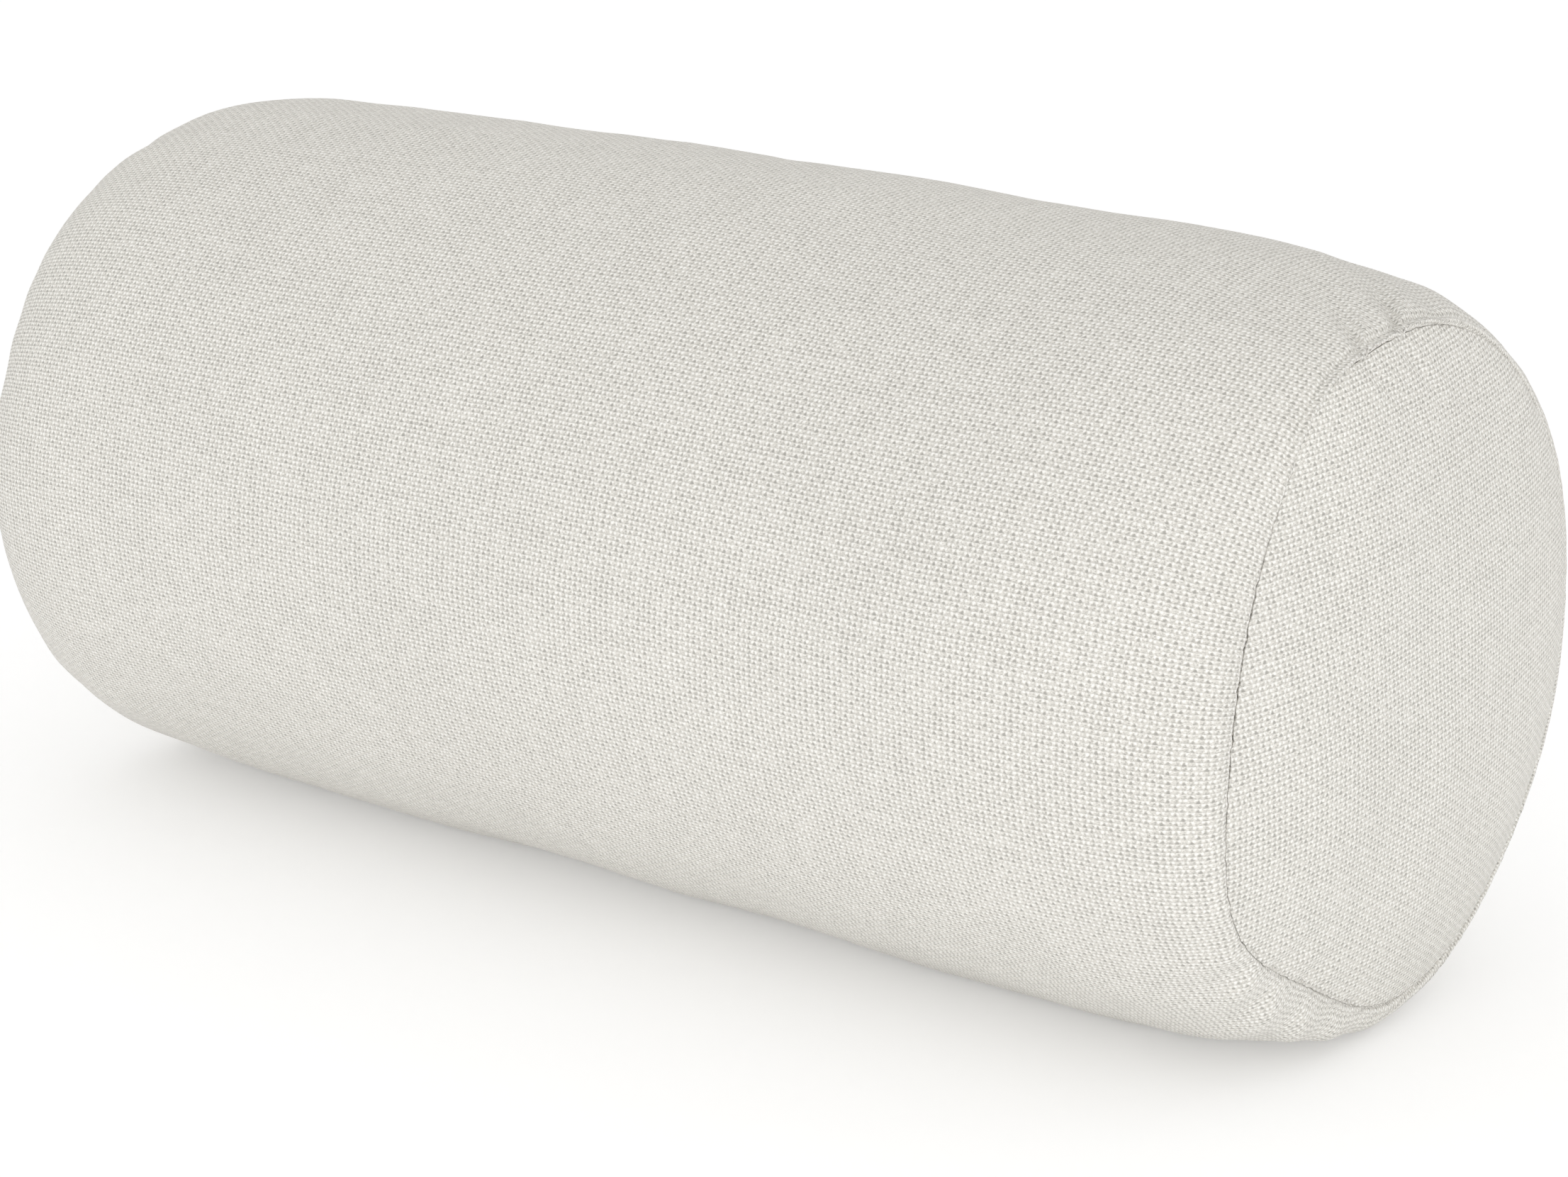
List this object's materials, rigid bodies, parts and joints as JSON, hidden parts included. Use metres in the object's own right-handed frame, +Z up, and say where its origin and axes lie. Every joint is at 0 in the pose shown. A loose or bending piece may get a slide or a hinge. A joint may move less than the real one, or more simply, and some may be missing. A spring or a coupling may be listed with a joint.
{
  "type": "bolster pillow",
  "caption": "Round bolster pillow in a woven cover with sewn round ends, a zip along the back and a wrapped foam roll inside.",
  "frame": {"origin": "centre of the flat underside that the bolster rests on", "axes": "+X along the bolster towards its right end, +Z up, +Y towards the back, where the zip is"},
  "size_m": [0.39, 0.1845, 0.1764],
  "materials": {
    "cover_cloth": "coarse plain weave, ivory, matt with a faint sheen",
    "sewing_thread": "spun polyester thread, ivory",
    "zip_tape": "fine herringbone tape, ivory",
    "zip_coil": "nylon coil, ivory",
    "zip_metal": "nickel-plated zinc, satin",
    "label_satin": "blank white satin ribbon",
    "liner_cloth": "white fine cotton",
    "wadding": "white polyester wadding",
    "foam": "open-cell upholstery foam"
  },
  "bodies": {
    "cushion": {"cover_side_panel": "cover_cloth", "cover_end_panel_left": "cover_cloth", "cover_end_panel_right": "cover_cloth", "end_seam_thread_left": "sewing_thread", "end_seam_thread_right": "sewing_thread", "back_seam_threads": "sewing_thread", "zip_tape_upper": "zip_tape", "zip_tape_lower": "zip_tape", "zip_coil_upper": "zip_coil", "zip_coil_lower": "zip_coil", "zip_stitching_upper": "sewing_thread", "zip_stitching_lower": "sewing_thread", "zip_top_stops": "zip_metal", "zip_bottom_stop": "zip_metal", "care_label": "label_satin", "liner_side_panel": "liner_cloth", "liner_end_left": "liner_cloth", "liner_end_right": "liner_cloth", "liner_seam_threads": "sewing_thread", "wadding_wrap": "wadding", "wadding_end_left": "wadding", "wadding_end_right": "wadding", "foam_core": "foam"},
    "slider": {"zip_slider": "zip_metal"},
    "pull_tab": {"zip_pull_tab": "zip_metal"}
  },
  "joints": [
    {"name": "zip_slide", "type": "slide", "parent": "cushion", "child": "slider", "axis": [1, 0, 0], "range_m": [0, 0.285]},
    {"name": "tab_flip", "type": "hinge", "parent": "slider", "child": "pull_tab", "pos_m": [-0.144, 0.0927, 0.08646], "axis": [0, 0, 1], "range_deg": [0, 180]}
  ]
}
